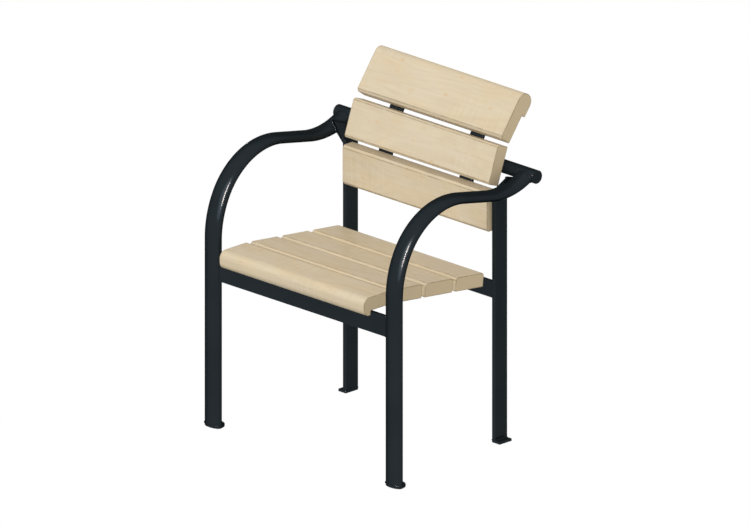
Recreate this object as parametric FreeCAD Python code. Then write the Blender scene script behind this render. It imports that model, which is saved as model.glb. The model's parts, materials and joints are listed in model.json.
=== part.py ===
import FreeCAD
import Part
import math
import os

# Outdoor armchair: a welded steel frame of oval tube and flat bar that carries seven wooden slats.
# Lengths in millimetres. X runs across the chair, Y from front to back, Z up.
# The chair is laid out with Y = 0 on the front legs' centre line, and centred over its own footprint at the end.

# Oval arm tubes, each one a front leg and an armrest in one bent piece
arm_spacing = 585.0
oval_width = 50.0
oval_depth = 25.0
oval_wall = 2.0
lower_bend_radius = 221.0
lower_bend_turn = 27.0
upper_bend_radius = 174.0
arm_fall = 11.2
dip_bend_radius = 178.0
arm_rise = 31.9
arm_aim_lift = 3.0

# Round tube across the back, closed by a welded disc at each end
cross_tube_diameter = 32.0
cross_tube_wall = 2.5
cross_tube_overhang = 2.0
end_disc_thickness = 3.0
cross_tube_contact = 45.5

# Flat bars of the frame
front_bar_height = 50.0
front_bar_thickness = 10.0
rear_bar_height = 40.0
rear_bar_thickness = 10.0
rear_bar_top = 380.5
rear_leg_gap = 472.0
rear_leg_thickness = 10.0
rear_leg_depth = 40.0
rear_leg_set_back = 20.4
rear_leg_bend_height = 608.6
rear_leg_bend = 45.0
rear_leg_bend_radius = 5.0

# Bent flat straps that carry the slats
support_spacing = 260.6
support_width = 40.0
support_thickness = 8.0
support_bend_radius = 10.0
seat_plane_height = 415.7
seat_support_front = 12.0
seat_bend_place = 51.4
seat_fall = 6.3
back_plane_place = 391.6
back_bend_height = 607.1
back_middle_lean = 20.0
back_middle_run = 104.6
back_upper_lean = 36.5
back_support_end_gap = 3.0

# Foot plates
foot_thickness = 6.0
front_foot_radius = 23.5
front_foot_offset = 4.0
rear_foot_width = 25.4
rear_foot_corner = 2.0

# Wooden slats
slat_thickness = 33.0
slat_width = 90.0
slat_gap = 10.0
slat_end_clearance = 2.5
slat_chamfer = 6.0
slat_rear_chamfer = 4.5
slat_ease = 2.0
lower_slat_width = 95.7
middle_slat_width = 93.2
middle_slat_chamfer = 4.5
first_seat_gap = 6.0
nose_reach = 38.9
nose_top_radius = 18.0
nose_bottom_radius = 17.0
nose_lip_depth = 10.9
nose_lip_thickness = 21.6
lip_inner_radius = 3.0
middle_slat_start = 8.1
top_slat_start = 4.5
top_slat_width = 121.0
top_front_radius = 20.0
top_back_radius = 21.0
top_pad_length = 50.0
top_pad_thickness = 10.6

# Coach screws and their washers
screw_diameter = 6.0
screw_length = 35.0
screw_point_length = 4.0
screw_point_radius = 0.6
head_across_flats = 10.0
head_height = 4.0
washer_diameter = 12.0
washer_thickness = 1.6
washer_hole_clearance = 0.2
support_hole_clearance = 0.5
pilot_clearance = 0.1
screw_edge = 19.0
front_screw_edge = 12.0

# Gap left for the weld at curved joints, and the length by which a cutting shape overruns
weld_gap = 0.3
overrun = 5.0

x_axis = FreeCAD.Vector(1, 0, 0)
y_axis = FreeCAD.Vector(0, 1, 0)
z_axis = FreeCAD.Vector(0, 0, 1)
sides = {"left": -1, "right": 1}


def at(x, y, z):
    return FreeCAD.Vector(x, y, z)


def heading(degrees):
    # Unit vector in the Y-Z plane, measured from straight back and upwards
    angle = math.radians(degrees)
    return at(0, math.cos(angle), math.sin(angle))


def lean(degrees):
    # Unit vector in the Y-Z plane that leans back from upright
    return heading(90 - degrees)


def corner_edge(before, corner, after, cut):
    # The points and the arc that replace a corner: a straight chamfer or a round
    kind, size = cut
    towards_before = (before - corner).normalize()
    towards_after = (after - corner).normalize()
    if kind == "chamfer":
        return corner + towards_before * size, None, corner + towards_after * size
    half = towards_before.getAngle(towards_after) / 2
    reach = size / math.tan(half)
    middle = (towards_before + towards_after).normalize()
    top = corner + middle * (size / math.sin(half) - size)
    return corner + towards_before * reach, top, corner + towards_after * reach


def outline_face(corners, cuts):
    # Closed face through the corners, each cut by its own chamfer or round, or left sharp
    edges = []
    last = None
    first = None
    count = len(corners)
    for index in range(count):
        corner = corners[index]
        cut = cuts[index]
        if cut is None:
            start, middle, end = corner, None, corner
        else:
            start, middle, end = corner_edge(corners[index - 1], corner, corners[(index + 1) % count], cut)
        if last is None:
            first = start
        else:
            edges.append(Part.LineSegment(last, start).toShape())
        if middle is not None:
            edges.append(Part.Arc(start, middle, end).toShape())
        elif cut is not None:
            edges.append(Part.LineSegment(start, end).toShape())
        last = end
    edges.append(Part.LineSegment(last, first).toShape())
    return Part.Face(Part.Wire(edges))


def offset_line(points, distance, normal):
    # Polyline moved sideways in its plane, with mitred bends
    moved = []
    for index, point in enumerate(points):
        shifts = []
        if index > 0:
            shifts.append(normal.cross(point - points[index - 1]).normalize())
        if index < len(points) - 1:
            shifts.append(normal.cross(points[index + 1] - point).normalize())
        if len(shifts) == 1:
            moved.append(point + shifts[0] * distance)
        else:
            middle = (shifts[0] + shifts[1]).normalize()
            moved.append(point + middle * (distance / middle.dot(shifts[0])))
    return moved


def bent_bar_face(points, thickness, radius, normal):
    # Side view of a flat bar. The points follow its convex side, and the other side has the tighter bends
    inner = offset_line(points, thickness, normal)
    cuts = [None] + [("round", radius + thickness)] * (len(points) - 2) + [None]
    inner_cuts = [None] + [("round", radius)] * (len(points) - 2) + [None]
    return outline_face(points + inner[::-1], cuts + inner_cuts)


def across(face, width, centre_x):
    # Solid of a Y-Z face, its width centred on centre_x
    return face.translated(at(centre_x - width / 2, 0, 0)).extrude(at(width, 0, 0))


def oval_face(centre_x, grow, z):
    # Outline of the oval tube at height z, grown or shrunk all round
    centre = at(centre_x, 0, z)
    half_width = x_axis * (oval_width / 2 + grow)
    half_depth = y_axis * (oval_depth / 2 + grow)
    ellipse = Part.Ellipse(centre + half_width, centre + half_depth, centre)
    return Part.Face(Part.Wire(ellipse.toShape()))


# Support lines of the seat and the back, which everything else follows

seat_bend = at(0, seat_bend_place, seat_plane_height)
seat_direction = heading(-seat_fall)
seat_normal = x_axis.cross(seat_direction)
seat_rear_length = (back_plane_place - seat_bend_place) / math.cos(math.radians(seat_fall))
seat_start = at(0, -seat_support_front, seat_plane_height)

back_bend = at(0, back_plane_place, back_bend_height)
middle_direction = lean(back_middle_lean)
middle_normal = x_axis.cross(middle_direction)
upper_direction = lean(back_upper_lean)
upper_normal = x_axis.cross(upper_direction)
upper_bend = back_bend + middle_direction * back_middle_run
top_slat_supported = top_slat_width - top_pad_length
back_support_end = upper_bend + upper_direction * (top_slat_start + top_slat_supported - back_support_end_gap)

# Middle of the round tube, which lies against the straps behind the middle back slat
cross_tube_radius = cross_tube_diameter / 2
tube_contact = back_bend + middle_direction * (middle_slat_start + cross_tube_contact)
tube_centre = tube_contact - middle_normal * (support_thickness + cross_tube_radius)


# Arm tube: upright, two bends back over the top, a gentle fall, and a dip that rises to the round tube

arm_x = arm_spacing / 2
aim = tube_centre + heading(90 + arm_rise) * arm_aim_lift
dip_centre = aim + heading(90 + arm_rise) * dip_bend_radius
fall_end = dip_centre - heading(90 - arm_fall) * dip_bend_radius
upper_heading = 90 - lower_bend_turn
# Where the upright must end and how long the falling run is follow from the other sizes
bends_reach = lower_bend_radius * (1 - math.cos(math.radians(lower_bend_turn)))
bends_reach += upper_bend_radius * (math.sin(math.radians(upper_heading)) + math.sin(math.radians(arm_fall)))
fall_length = (fall_end.y - bends_reach) / math.cos(math.radians(arm_fall))
bends_height = lower_bend_radius * math.sin(math.radians(lower_bend_turn))
bends_height += upper_bend_radius * (math.cos(math.radians(arm_fall)) - math.cos(math.radians(upper_heading)))
upright_top = fall_end.z + fall_length * math.sin(math.radians(arm_fall)) - bends_height


def arm_tube(side):
    x = sides[side] * arm_x
    section = oval_face(x, 0, foot_thickness).cut(oval_face(x, -oval_wall, foot_thickness)).Faces[0]
    upright = z_axis * (upright_top - foot_thickness)
    runs = [section.extrude(upright)]
    section = section.translated(upright)
    point = at(x, 0, upright_top)
    direction = 90
    bends = [
        (lower_bend_radius, -lower_bend_turn, 0),
        (upper_bend_radius, -(upper_heading + arm_fall), fall_length),
        (dip_bend_radius, arm_fall + arm_rise, 0),
    ]
    for radius, turn, straight in bends:
        towards = 1 if turn > 0 else -1
        centre = point + heading(direction + 90 * towards) * radius
        axis = x_axis * towards
        runs.append(section.revolve(centre, axis, abs(turn)))
        section = section.rotated(centre, axis, abs(turn))
        point = centre - heading(direction + turn + 90 * towards) * radius
        direction += turn
        if straight:
            step = heading(direction) * straight
            runs.append(section.extrude(step))
            section = section.translated(step)
            point = point + step
    tube = runs[0].multiFuse(runs[1:])
    cope = Part.makeCylinder(
        cross_tube_radius + weld_gap,
        oval_width + 2 * overrun,
        at(x - oval_width / 2 - overrun, tube_centre.y, tube_centre.z),
        x_axis,
    )
    return tube.cut(cope)


def round_tube():
    length = arm_spacing + oval_width + 2 * cross_tube_overhang
    start = at(-length / 2, tube_centre.y, tube_centre.z)
    outside = Part.makeCylinder(cross_tube_radius, length, start, x_axis)
    inside = Part.makeCylinder(cross_tube_radius - cross_tube_wall, length, start, x_axis)
    return outside.cut(inside)


def end_disc(side):
    half = (arm_spacing + oval_width) / 2 + cross_tube_overhang
    start = at(sides[side] * half, tube_centre.y, tube_centre.z)
    return Part.makeCylinder(cross_tube_radius, end_disc_thickness, start, x_axis * sides[side])


def front_bar():
    top = seat_plane_height - support_thickness
    bar = Part.makeBox(
        arm_spacing,
        front_bar_thickness,
        front_bar_height,
        at(-arm_x, -front_bar_thickness / 2, top - front_bar_height),
    )
    for side in sides:
        leg = oval_face(sides[side] * arm_x, weld_gap, top - front_bar_height - overrun)
        bar = bar.cut(leg.extrude(z_axis * (front_bar_height + 2 * overrun)))
    return bar


rear_bar_front = back_plane_place
rear_leg_rear = rear_bar_front + rear_leg_set_back
rear_leg_front = rear_leg_rear - rear_leg_depth


def rear_bar():
    corner = at(-rear_leg_gap / 2, rear_bar_front, rear_bar_top - rear_bar_height)
    return Part.makeBox(rear_leg_gap, rear_bar_thickness, rear_bar_height, corner)


def rear_leg(side):
    # Side view in the X-Z plane, bent outwards at the top to reach the arm tube
    inner_x = rear_leg_gap / 2
    reach_x = arm_x - oval_width / 2 - weld_gap
    slope = math.tan(math.radians(90 - rear_leg_bend))
    outer_x = inner_x + rear_leg_thickness
    outer_bend = rear_leg_bend_height - rear_leg_thickness * math.tan(math.radians(rear_leg_bend / 2))
    outline = [
        (inner_x, foot_thickness, None),
        (outer_x, foot_thickness, None),
        (outer_x, outer_bend, ("round", rear_leg_bend_radius)),
        (reach_x, outer_bend + (reach_x - outer_x) * slope, None),
        (reach_x, rear_leg_bend_height + (reach_x - inner_x) * slope, None),
        (inner_x, rear_leg_bend_height, ("round", rear_leg_bend_radius + rear_leg_thickness)),
    ]
    corners = [at(sides[side] * x, rear_leg_front, z) for x, z, cut in outline]
    return outline_face(corners, [cut for x, z, cut in outline]).extrude(y_axis * rear_leg_depth)


def front_foot(side):
    x = sides[side] * arm_x
    # The plate follows the tube in front and has a half-round tab behind
    under_tube = oval_face(x, 0, 0).extrude(z_axis * foot_thickness)
    tab = Part.makeCylinder(front_foot_radius, foot_thickness, at(x, front_foot_offset, 0), z_axis, 180)
    return under_tube.fuse(tab).removeSplitter()


def rear_foot(side):
    inner_x = sides[side] * rear_leg_gap / 2
    outer_x = inner_x + sides[side] * rear_foot_width
    corners = [
        at(inner_x, rear_leg_front, 0),
        at(outer_x, rear_leg_front, 0),
        at(outer_x, rear_leg_rear, 0),
        at(inner_x, rear_leg_rear, 0),
    ]
    rounded = ("round", rear_foot_corner)
    return outline_face(corners, [None, rounded, rounded, None]).extrude(z_axis * foot_thickness)


# Slats: every slat stands on a line of its supports, at a start point, and runs along it


def placed(start, direction, normal, corners):
    return [start + direction * along + normal * off for along, off in corners]


def plain_slat(start, direction, normal, width, cuts):
    corners = [(0, 0), (0, slat_thickness), (width, slat_thickness), (width, 0)]
    return outline_face(placed(start, direction, normal, corners), cuts)


def front_slat_face():
    ease = ("round", slat_ease)
    lip_rear = nose_lip_thickness - nose_reach
    outline = [
        (seat_bend_place, 0, ease),
        (seat_bend_place, slat_thickness, ("chamfer", slat_rear_chamfer)),
        (-nose_reach, slat_thickness, ("round", nose_top_radius)),
        (-nose_reach, -nose_lip_depth, ("round", nose_bottom_radius)),
        (lip_rear, -nose_lip_depth, ease),
        (lip_rear, 0, ("round", lip_inner_radius)),
    ]
    corners = placed(at(0, 0, seat_plane_height), y_axis, z_axis, [(y, z) for y, z, cut in outline])
    return outline_face(corners, [cut for y, z, cut in outline])


def top_slat_face(start):
    ease = ("round", slat_ease)
    pad_start = top_slat_width - top_pad_length
    outline = [
        (0, 0, ease),
        (0, slat_thickness, ("chamfer", slat_chamfer)),
        (top_slat_width, slat_thickness, ("round", top_front_radius)),
        (top_slat_width, -top_pad_thickness, ("round", top_back_radius)),
        (pad_start, -top_pad_thickness, ease),
        (pad_start, 0, ("round", lip_inner_radius)),
    ]
    corners = placed(start, upper_direction, upper_normal, [(along, off) for along, off, cut in outline])
    return outline_face(corners, [cut for along, off, cut in outline])


def slat_table():
    # For each slat: its face, and the start, direction, normal and places of its screws
    slats = {}
    bar_rear = front_bar_thickness / 2
    front_run = seat_bend_place - bar_rear
    slats["seat_slat_1"] = (
        front_slat_face(),
        at(0, bar_rear, seat_plane_height),
        y_axis,
        z_axis,
        (front_screw_edge, front_run - front_screw_edge),
    )
    both_edges = (screw_edge, slat_width - screw_edge)
    ease = ("round", slat_ease)
    cuts = [ease, ("chamfer", slat_chamfer), ("chamfer", slat_rear_chamfer), ease]
    for index in range(3):
        start = seat_bend + seat_direction * (first_seat_gap + index * (slat_width + slat_gap))
        face = plain_slat(start, seat_direction, seat_normal, slat_width, cuts)
        slats["seat_slat_%d" % (index + 2)] = (face, start, seat_direction, seat_normal, both_edges)
    both_edges = (screw_edge, lower_slat_width - screw_edge)
    cuts = [ease, ("chamfer", slat_chamfer), ("chamfer", slat_chamfer), ease]
    start = back_bend - z_axis * lower_slat_width
    face = plain_slat(start, z_axis, -y_axis, lower_slat_width, cuts)
    slats["back_slat_lower"] = (face, start, z_axis, -y_axis, both_edges)
    both_edges = (screw_edge, middle_slat_width - screw_edge)
    cuts = [ease, ("chamfer", middle_slat_chamfer), ("chamfer", middle_slat_chamfer), ease]
    start = back_bend + middle_direction * middle_slat_start
    face = plain_slat(start, middle_direction, middle_normal, middle_slat_width, cuts)
    slats["back_slat_middle"] = (face, start, middle_direction, middle_normal, both_edges)
    start = upper_bend + upper_direction * top_slat_start
    top_edges = (screw_edge, top_slat_supported - screw_edge)
    slats["back_slat_top"] = (top_slat_face(start), start, upper_direction, upper_normal, top_edges)
    return slats


slat_length = rear_leg_gap - 2 * slat_end_clearance


def screw_seats(entry):
    # Middle of each screw on the supports' slat side, with the direction in which the screw points
    face, start, direction, normal, places = entry
    for side in sides.values():
        for place in places:
            yield at(side * support_spacing / 2, 0, 0) + start + direction * place, normal


def screw_holes(entry, diameter, depth_from, depth_to):
    holes = []
    for point, normal in screw_seats(entry):
        hole = Part.makeCylinder(diameter / 2, depth_to - depth_from, point + normal * depth_from, normal)
        holes.append(hole)
    return holes


def slat(entry):
    solid = across(entry[0], slat_length, 0)
    depth = screw_length - support_thickness - washer_thickness
    pilots = screw_holes(entry, screw_diameter + 2 * pilot_clearance, -overrun, depth)
    return solid.cut(pilots)


def screws(entry):
    made = []
    stack = support_thickness + washer_thickness
    radius = screw_diameter / 2
    corner_radius = head_across_flats / 2 / math.cos(math.radians(30))
    for point, normal in screw_seats(entry):
        under_head = point - normal * stack
        shank_end = screw_length - screw_point_length
        shank = Part.makeCylinder(radius, shank_end, under_head, normal)
        point_base = under_head + normal * shank_end
        tip = Part.makeCone(radius, screw_point_radius, screw_point_length, point_base, normal)
        hexagon = []
        for index in range(7):
            turn = math.radians(60 * index)
            side_step = x_axis * (corner_radius * math.cos(turn))
            along_step = normal.cross(x_axis) * (corner_radius * math.sin(turn))
            hexagon.append(under_head + side_step + along_step)
        head = Part.Face(Part.makePolygon(hexagon)).extrude(-normal * head_height)
        made.append(shank.multiFuse([tip, head]).removeSplitter())
    return Part.Compound(made)


def washers(entry):
    made = []
    hole = screw_diameter / 2 + washer_hole_clearance
    for point, normal in screw_seats(entry):
        back = point - normal * (support_thickness + washer_thickness)
        disc = Part.makeCylinder(washer_diameter / 2, washer_thickness, back, normal)
        made.append(disc.cut(Part.makeCylinder(hole, washer_thickness, back, normal)))
    return Part.Compound(made)


def drilled(solid, entries):
    holes = []
    hole_size = screw_diameter + 2 * support_hole_clearance
    for entry in entries:
        holes += screw_holes(entry, hole_size, -support_thickness - overrun, overrun)
    return solid.cut(holes)


def seat_support(side, slats):
    points = [seat_start, seat_bend, seat_bend + seat_direction * seat_rear_length]
    bar = bent_bar_face(points, support_thickness, support_bend_radius, -x_axis)
    solid = across(bar, support_width, sides[side] * support_spacing / 2)
    # The rear end is cut upright to meet the rear bar
    trim_size = at(support_width + 2 * overrun, support_width, 2 * support_width)
    trim_corner = at(
        sides[side] * support_spacing / 2 - trim_size.x / 2,
        rear_bar_front,
        seat_plane_height - seat_rear_length * math.sin(math.radians(seat_fall)) - support_width,
    )
    solid = solid.cut(Part.makeBox(trim_size.x, trim_size.y, trim_size.z, trim_corner))
    return drilled(solid, [slats["seat_slat_%d" % number] for number in (1, 2, 3, 4)])


def back_support(side, slats):
    # The foot stops a little above the lower slat's bottom edge, hidden behind the slat
    foot = back_bend - z_axis * (lower_slat_width - back_support_end_gap)
    points = [foot, back_bend, upper_bend, back_support_end]
    bar = bent_bar_face(points, support_thickness, support_bend_radius, -x_axis)
    solid = across(bar, support_width, sides[side] * support_spacing / 2)
    return drilled(solid, [slats["back_slat_" + name] for name in ("lower", "middle", "top")])


def chair():
    slats = slat_table()
    nodes = {
        "rear_cross_tube": round_tube(),
        "front_cross_bar": front_bar(),
        "rear_cross_bar": rear_bar(),
    }
    for side in sides:
        nodes["front_leg_arm_" + side] = arm_tube(side)
        nodes["rear_leg_" + side] = rear_leg(side)
        nodes["tube_end_disc_" + side] = end_disc(side)
        nodes["seat_support_" + side] = seat_support(side, slats)
        nodes["back_support_" + side] = back_support(side, slats)
        nodes["front_foot_" + side] = front_foot(side)
        nodes["rear_foot_" + side] = rear_foot(side)
    for name, entry in slats.items():
        nodes[name] = slat(entry)
        nodes["screws_" + name] = screws(entry)
        nodes["washers_" + name] = washers(entry)
    return nodes


parts = chair()
footprint = Part.Compound(list(parts.values())).optimalBoundingBox(False, False)
centre_shift = at(0, -(footprint.YMin + footprint.YMax) / 2, 0)
print("arm: upright to %.1f, fall %.1f long, top %.1f" % (
    upright_top, fall_length, upright_top + bends_height
))
print("size %.1f x %.1f x %.1f, shift %.2f" % (
    footprint.XLength, footprint.YLength, footprint.ZLength, centre_shift.y
))
os.makedirs("parts", exist_ok=True)
for name, shape in parts.items():
    shape.translated(centre_shift).exportStep("parts/%s.step" % name)
    if not shape.isValid():
        print("not valid:", name)
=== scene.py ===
import json

import bmesh
import bpy
import numpy as np
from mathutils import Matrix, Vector

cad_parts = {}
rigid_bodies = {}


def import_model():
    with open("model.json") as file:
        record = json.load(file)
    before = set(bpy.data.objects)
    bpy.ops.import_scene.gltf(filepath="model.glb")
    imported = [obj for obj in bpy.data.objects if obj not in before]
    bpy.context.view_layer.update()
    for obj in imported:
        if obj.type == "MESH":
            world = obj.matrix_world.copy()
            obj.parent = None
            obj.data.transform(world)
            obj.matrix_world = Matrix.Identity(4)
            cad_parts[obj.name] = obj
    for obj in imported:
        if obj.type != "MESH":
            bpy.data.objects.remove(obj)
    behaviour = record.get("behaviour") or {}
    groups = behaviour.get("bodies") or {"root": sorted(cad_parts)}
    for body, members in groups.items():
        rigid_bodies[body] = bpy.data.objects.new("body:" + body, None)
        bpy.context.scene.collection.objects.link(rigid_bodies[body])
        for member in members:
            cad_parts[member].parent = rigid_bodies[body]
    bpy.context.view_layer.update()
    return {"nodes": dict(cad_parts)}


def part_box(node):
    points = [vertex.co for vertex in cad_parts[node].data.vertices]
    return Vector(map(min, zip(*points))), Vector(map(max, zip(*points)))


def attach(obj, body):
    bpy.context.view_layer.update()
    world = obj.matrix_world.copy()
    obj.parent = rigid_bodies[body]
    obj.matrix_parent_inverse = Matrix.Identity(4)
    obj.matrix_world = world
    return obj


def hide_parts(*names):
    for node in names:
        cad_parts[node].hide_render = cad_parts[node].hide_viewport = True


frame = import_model()
print("stage: frame loaded,", len(frame["nodes"]), "nodes")

# Sizes are in millimetres and angles in degrees. X runs across, Y back from the front legs' line, Z up.
millimetre = 0.001
barLow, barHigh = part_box("front_cross_bar")
legLine = (barLow.y + barHigh.y) / 2
sides = {"left": -1, "right": 1}
sideways = np.array([1.0, 0.0, 0.0])
backwards = np.array([0.0, 1.0, 0.0])
upwards = np.array([0.0, 0.0, 1.0])
square = np.array([[-1, -1], [1, -1], [1, 1], [-1, 1]])


# Shapes as arrays

outlineRule = {
    "tight": 2.5,          # arcs under this radius count as edges, worn on the metal and lined with painted shade on the wood
    "leastRadius": 0.05, "leastFree": 0.02,
    "supportShare": 0.35,  # of a side's free length
}
endRule = {"rows": 4, "rounding": 0.7, "flatRing": 1.0, "support": 3.0}
latheSteps = 64


def unit(vectors):
    # Each vector divided by its own length
    return vectors / np.linalg.norm(vectors, axis=-1, keepdims=True)


def heading(degrees):
    # Direction in the side view: cosine along Y and sine along Z, of one angle or of an array
    angle = np.radians(degrees)
    return np.stack([np.zeros_like(angle), np.cos(angle), np.sin(angle)], axis=-1)


def fullTurn(steps):
    # Angles all round, in radians, without the last that equals the first
    return np.linspace(0, 2 * np.pi, steps, endpoint=False)


def halfBend(toBefore, toAfter):
    # Half the angle between the two sides of each corner, in radians
    return np.arccos(np.clip(np.sum(toBefore * toAfter, axis=1, keepdims=True), -1, 1)) / 2


def roundedOutline(corners, radii, inset=0.0, steps=8, support=1.2):
    # Anticlockwise outline. A corner moves in along its mitre by the inset, and an arc of its radius touches
    # both sides there: centre + radius * (cosine, sine) of an angle that turns evenly from side to side.
    # One more point stands on each side, close to the arc. Also gives 1 on tight arcs and 0 elsewhere.
    corners, radii = np.asarray(corners, float), np.asarray(radii, float)
    toBefore = unit(np.roll(corners, 1, axis=0) - corners)
    toAfter = unit(np.roll(corners, -1, axis=0) - corners)
    inFirst = np.stack([toBefore[:, 1], -toBefore[:, 0]], axis=1)
    inSecond = np.stack([-toAfter[:, 1], toAfter[:, 0]], axis=1)
    moved = corners + inset * (inFirst + inSecond) / (1 + np.sum(inFirst * inSecond, axis=1, keepdims=True))
    turn = toBefore[:, 1] * toAfter[:, 0] - toBefore[:, 0] * toAfter[:, 1]
    radius = np.where(turn > 0, np.maximum(radii - inset, outlineRule["leastRadius"]), radii + inset)[:, None]
    half = halfBend(toBefore, toAfter)
    reach = radius / np.tan(half)
    centre = moved + unit(toBefore + toAfter) * radius / np.sin(half)
    first, last = moved + toBefore * reach, moved + toAfter * reach
    startAngle = np.arctan2(*(first - centre).T[::-1])
    sweep = np.arctan2(*(last - centre).T[::-1]) - startAngle
    sweep = (sweep + np.pi) % (2 * np.pi) - np.pi
    angle = startAngle[:, None] + sweep[:, None] * np.linspace(0, 1, steps)
    arcs = centre[:, None] + radius[:, None] * np.stack([np.cos(angle), np.sin(angle)], axis=-1)
    sideLength = np.linalg.norm(np.roll(moved, -1, axis=0) - moved, axis=1, keepdims=True)
    free = sideLength - reach - np.roll(reach, -1, axis=0)
    step = np.minimum(support, outlineRule["supportShare"] * np.maximum(free, outlineRule["leastFree"]))
    before = first + toBefore * np.roll(step, 1, axis=0)
    after = last + toAfter * step
    outline = np.concatenate([before[:, None], arcs, after[:, None]], axis=1).reshape(-1, 2)
    tight = np.zeros((len(corners), steps + 2))
    tight[:, 1:-1] = (radii < outlineRule["tight"])[:, None]
    return outline, tight.ravel()


def bentPath(points, radii, steps=7):
    # Middle line of a bent bar in one plane: each inner corner becomes an arc whose direction turns evenly.
    # Gives the points and the travel directions.
    points, radii = np.asarray(points, float), np.asarray(radii, float)[:, None]
    corners = points[1:-1]
    toBefore, toAfter = unit(points[:-2] - corners), unit(points[2:] - corners)
    half = halfBend(toBefore, toAfter)
    centre = corners + unit(toBefore + toAfter) * radii / np.sin(half)
    reach = radii / np.tan(half)
    first, last = corners + toBefore * reach, corners + toAfter * reach
    part = np.linspace(0, 1, steps)[None, :, None]
    arms = unit(first - centre)[:, None] * (1 - part) + unit(last - centre)[:, None] * part
    arcs = centre[:, None] + radii[:, None] * unit(arms)
    directions = unit(-toBefore[:, None] * (1 - part) + toAfter[:, None] * part)
    path = np.concatenate([points[:1], arcs.reshape(-1, 3), points[-1:]])
    along = np.concatenate([-toBefore[:1], directions.reshape(-1, 3), toAfter[-1:]])
    return path, along


def quarterRound(rounding):
    # Quarter circle at an edge, from the end face to the side: distance from the end, and inset
    angle = np.linspace(0, np.pi / 2, endRule["rows"])
    return rounding * (1 - np.cos(angle)), rounding * (1 - np.sin(angle))


def loftBar(path, along, firstAxis, secondAxis, outlineOf, ends=endRule):
    # A section carried along a path: path + across * first axis + off * second axis. At both ends a flat
    # ring and a quarter circle are made by insets. Gives rings, each ring's section, and 1 on tight edges.
    axes = [np.broadcast_to(axis, path.shape) for axis in (along, firstAxis, secondAxis)]
    along, firstAxis, secondAxis = axes
    rounding = ends["rounding"]
    drop, drawIn = quarterRound(rounding)
    away = np.concatenate([[0.0], drop])
    inset = np.concatenate([[rounding + ends["flatRing"]], drawIn])
    between = len(path) - 2
    insets = np.concatenate([inset, np.zeros(between), inset[::-1]])
    centres = np.concatenate([
        path[0] + along[0] * away[:, None], path[1:-1], path[-1] - along[-1] * away[::-1, None]
    ])
    pick = np.repeat(np.arange(len(path)), [len(away)] + [1] * between + [len(away)])
    levels, where = np.unique(insets, return_inverse=True)
    drawn = [outlineOf(level) for level in levels]
    sections = np.stack([outline for outline, tight in drawn])[where]
    tight = drawn[0][1]
    endEdge = np.concatenate([[0.0], np.ones(len(drop))])
    rows = np.concatenate([endEdge, np.zeros(between), endEdge[::-1]])
    onSide = insets <= rounding
    edge = np.maximum(rows[:, None], tight[None, :] * onSide[:, None])
    rings = centres[:, None] + sections[..., :1] * firstAxis[pick][:, None]
    rings += sections[..., 1:] * secondAxis[pick][:, None]
    return rings, sections, edge


def lathe(profile, centre, axis):
    # A profile of (distance along the axis, radius) turned about the axis
    anyOther = [0.3, 0.5, 0.81]
    sideAxis = unit(np.cross(axis, anyOther))
    topAxis = np.cross(axis, sideAxis)
    angle = fullTurn(latheSteps)[None, :, None]
    out = np.cos(angle) * sideAxis + np.sin(angle) * topAxis
    profile = np.asarray(profile, float)
    return centre + profile[:, None, :1] * axis + profile[:, None, 1:] * out


def ringFaces(copies, ringCount, pointCount, looped=False):
    # Quads between neighbouring rings of each copy, and a polygon on each end of rings that aren't looped
    base = np.arange(copies)[:, None, None] * ringCount * pointCount
    rows = np.arange(ringCount if looped else ringCount - 1)[None, :, None]
    here = np.arange(pointCount)[None, None, :]
    near, far = rows * pointCount, (rows + 1) % ringCount * pointCount
    after = (here + 1) % pointCount
    corners = (base + near + here, base + near + after, base + far + after, base + far + here)
    faces = np.stack(corners, axis=-1).reshape(-1, 4).tolist()
    if not looped:
        faces += (base[:, 0] + here[0]).tolist()
        faces += (base[:, 0] + (ringCount - 1) * pointCount + here[0]).tolist()
    return faces


def addPiece(name, shells, material, nodes=(), attributes=None):
    # One object from shells of (points, faces), in millimetres from the legs' line, with normals turned out
    clouds = [points.reshape(-1, 3) for points, faces in shells]
    starts = np.cumsum([0] + [len(cloud) for cloud in clouds])
    pairs = [(int(start), face) for start, shell in zip(starts, shells) for face in shell[1]]
    faces = [[start + index for index in face] for start, face in pairs]
    mesh = bpy.data.meshes.new(name)
    mesh.from_pydata((np.concatenate(clouds) * millimetre + backwards * legLine).tolist(), [], faces)
    working = bmesh.new()
    working.from_mesh(mesh)
    bmesh.ops.recalc_face_normals(working, faces=working.faces)
    working.to_mesh(mesh)
    working.free()
    for key, values in (attributes or {}).items():
        isVector = values.ndim > 1
        layer = mesh.attributes.new(key, "FLOAT_VECTOR" if isVector else "FLOAT", "POINT")
        layer.data.foreach_set("vector" if isVector else "value", values.astype(np.float32).ravel())
    mesh.shade_smooth()
    mesh.materials.append(material)
    piece = bpy.data.objects.new(name, mesh)
    bpy.context.scene.collection.objects.link(piece)
    flatShading = piece.modifiers.new("flatShading", "WEIGHTED_NORMAL")
    flatShading.weight = 80
    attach(piece, "root")
    if nodes:
        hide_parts(*nodes)


def addRings(name, rings, material, node, edge=None, **more):
    # A piece whose rings are one closed tube, with how much each point lies on an edge: worn on the metal,
    # painted shade on the wood
    attributes = more if edge is None else {"edge": edge.ravel(), **more}
    addPiece(name, [(rings, ringFaces(1, *rings.shape[:2]))], material, [node], attributes)


# Shader nodes

def addNode(tree, kind, inputs, **settings):
    made = tree.nodes.new(kind)
    for key, value in settings.items():
        setattr(made, key, value)
    for key, value in inputs.items():
        if isinstance(value, bpy.types.NodeSocket):
            tree.links.new(value, made.inputs[key])
        else:
            made.inputs[key].default_value = value
    return made


def useGroup(tree, group, inputs):
    return addNode(tree, "ShaderNodeGroup", inputs, node_tree=group).outputs


def calc(tree, operation, first, second=0.5, third=0.5):
    return addNode(tree, "ShaderNodeMath", {0: first, 1: second, 2: third}, operation=operation).outputs[0]


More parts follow.
